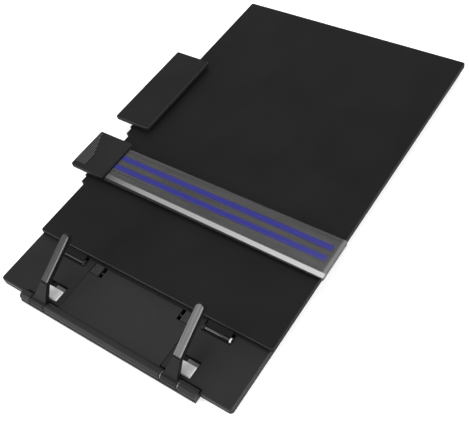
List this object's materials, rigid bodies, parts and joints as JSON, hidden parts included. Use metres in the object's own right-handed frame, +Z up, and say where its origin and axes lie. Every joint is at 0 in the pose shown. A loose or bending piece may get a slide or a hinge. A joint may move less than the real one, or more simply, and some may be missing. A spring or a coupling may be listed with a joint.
{
  "type": "copy holder",
  "caption": "Black plastic copy holder that folds flat, with a tilting document board, a sliding transparent line guide, a side clip, a front ledge and two sprung page arms",
  "frame": {"origin": "on the desk, under the middle of the whole folded object's bounding box", "axes": "+Y from the front ledge towards the far edge of the board, +X to the right as the user sees it, +Z up; the board is folded flat"},
  "size_m": [0.2602, 0.3932, 0.0451],
  "materials": {
    "board": "fine matte grain, black",
    "base_shell": "satin black",
    "ledge": "satin black",
    "arm": "satin black",
    "grip": "satin black",
    "finger_grey": "grey with fine lengthwise streaks",
    "tab_grey": "light grey, satin",
    "guide_clear": "smoky transparent with two blue lines",
    "rubber": "matte black",
    "steel": "bright drawn steel",
    "spring_steel": "spring wire"
  },
  "bodies": {
    "base": {"base_tray": "base_shell", "base_cover": "base_shell", "cover_screws": "steel", "rubber_feet": "rubber", "ledge_rail": "ledge", "ledge_axle": "steel", "hinge_pin_left": "steel", "hinge_pin_right": "steel"},
    "board": {"document_board": "board", "prop_pins": "steel"},
    "prop": {"prop_leg": "base_shell", "prop_foot_pad": "rubber"},
    "slider": {"slider_carriage": "grip", "slider_pin": "steel", "slider_spring": "spring_steel"},
    "slider_jaw": {"slider_jaw": "grip", "slider_pad": "rubber", "guide_bar": "guide_clear"},
    "clip": {"clip_carriage": "grip", "clip_pin": "steel", "clip_springs": "spring_steel"},
    "clip_jaw": {"clip_jaw": "grip", "clip_pad": "rubber"},
    "arm_left": {"page_arm_left": "arm", "finger_strip_left": "finger_grey", "thumb_tab_left": "tab_grey", "arm_spring_left": "spring_steel"},
    "arm_right": {"page_arm_right": "arm", "finger_strip_right": "finger_grey", "thumb_tab_right": "tab_grey", "arm_spring_right": "spring_steel"},
    "flap": {"ledge_flap": "ledge", "latch_spring_left": "spring_steel", "latch_spring_right": "spring_steel"},
    "latch_left": {"flap_latch_left": "arm"},
    "latch_right": {"flap_latch_right": "arm"}
  },
  "joints": [
    {"name": "board_tilt", "type": "hinge", "parent": "base", "child": "board", "pos_m": [0.00875, -0.1449, 0.0074], "axis": [1, 0, 0], "range_deg": [0, 70]},
    {"name": "prop_swing", "type": "hinge", "parent": "board", "child": "prop", "pos_m": [0.00965, 0.0151, 0.0074], "axis": [1, 0, 0], "range_deg": [-140, 0]},
    {"name": "slider_travel", "type": "slide", "parent": "board", "child": "slider", "axis": [0, 1, 0], "range_m": [-0.052, 0.0085]},
    {"name": "slider_jaw_open", "type": "hinge", "parent": "slider", "child": "slider_jaw", "pos_m": [-0.11185, -0.0496, 0.0135], "axis": [0, -1, 0], "range_deg": [0, 10], "stiffness_Nm_per_rad": 0.06, "springref_deg": -34.38},
    {"name": "clip_travel", "type": "slide", "parent": "board", "child": "clip", "axis": [0, 1, 0], "range_m": [-0.0085, 0.1]},
    {"name": "clip_jaw_open", "type": "hinge", "parent": "clip", "child": "clip_jaw", "pos_m": [-0.11185, 0.0441, 0.0135], "axis": [0, -1, 0], "range_deg": [0, 20], "stiffness_Nm_per_rad": 0.06, "springref_deg": -34.38},
    {"name": "arm_left_swing", "type": "hinge", "parent": "base", "child": "arm_left", "pos_m": [-0.06085, -0.1919, 0.0064], "axis": [1, 0, 0], "range_deg": [0, 95], "stiffness_Nm_per_rad": 0.02, "springref_deg": -45.84},
    {"name": "arm_right_swing", "type": "hinge", "parent": "base", "child": "arm_right", "pos_m": [0.07315, -0.1919, 0.0064], "axis": [1, 0, 0], "range_deg": [0, 95], "stiffness_Nm_per_rad": 0.02, "springref_deg": -45.84},
    {"name": "flap_open", "type": "hinge", "parent": "base", "child": "flap", "pos_m": [0.00615, -0.1919, 0.0064], "axis": [1, 0, 0], "range_deg": [0, 90]},
    {"name": "latch_left_squeeze", "type": "slide", "parent": "flap", "child": "latch_left", "axis": [1, 0, 0], "range_m": [0, 0.003], "stiffness_N_per_m": 200, "springref_m": -0.002, "deforming": ["latch_spring_left"]},
    {"name": "latch_right_squeeze", "type": "slide", "parent": "flap", "child": "latch_right", "axis": [-1, 0, 0], "range_m": [0, 0.003], "stiffness_N_per_m": 200, "springref_m": -0.002, "deforming": ["latch_spring_right"]}
  ],
  "couplings": [
    {"joint": "prop_swing", "follows": "board_tilt", "ratio": -2}
  ]
}
